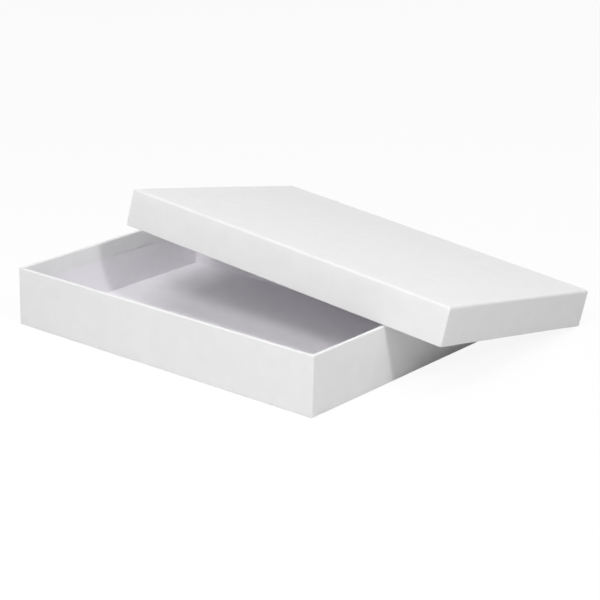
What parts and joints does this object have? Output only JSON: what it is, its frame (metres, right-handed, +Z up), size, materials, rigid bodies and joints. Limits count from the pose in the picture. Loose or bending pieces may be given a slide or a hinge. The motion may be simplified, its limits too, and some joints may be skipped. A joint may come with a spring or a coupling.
{
  "type": "presentation box",
  "caption": "Shallow white paper-covered greyboard tray with a lift-off lid lying askew on it, both open and empty.",
  "frame": {"origin": "centre of the tray's underside, on the surface that it stands on", "axes": "+X along the tray's long side, +Y from its front wall to its back wall, +Z up"},
  "size_m": [0.2588, 0.2234, 0.0766],
  "materials": {
    "cover_paper": "matt white, faintly mottled",
    "lining_paper": "matt white",
    "greyboard": "raw grey board",
    "corner_tape": "brown paper tape"
  },
  "bodies": {
    "base": {"base_board": "greyboard", "base_corner_stay_front_left": "corner_tape", "base_corner_stay_front_right": "corner_tape", "base_corner_stay_back_left": "corner_tape", "base_corner_stay_back_right": "corner_tape", "base_liner": "lining_paper", "base_wrap": "cover_paper"},
    "lid": {"lid_board": "greyboard", "lid_corner_stay_front_left": "corner_tape", "lid_corner_stay_front_right": "corner_tape", "lid_corner_stay_back_left": "corner_tape", "lid_corner_stay_back_right": "corner_tape", "lid_liner": "lining_paper", "lid_wrap": "cover_paper"}
  },
  "joints": [
    {"name": "lid_lift", "type": "slide", "parent": "base", "child": "lid", "axis": [0, 0, 1], "range_m": [0, 0.12]}
  ]
}
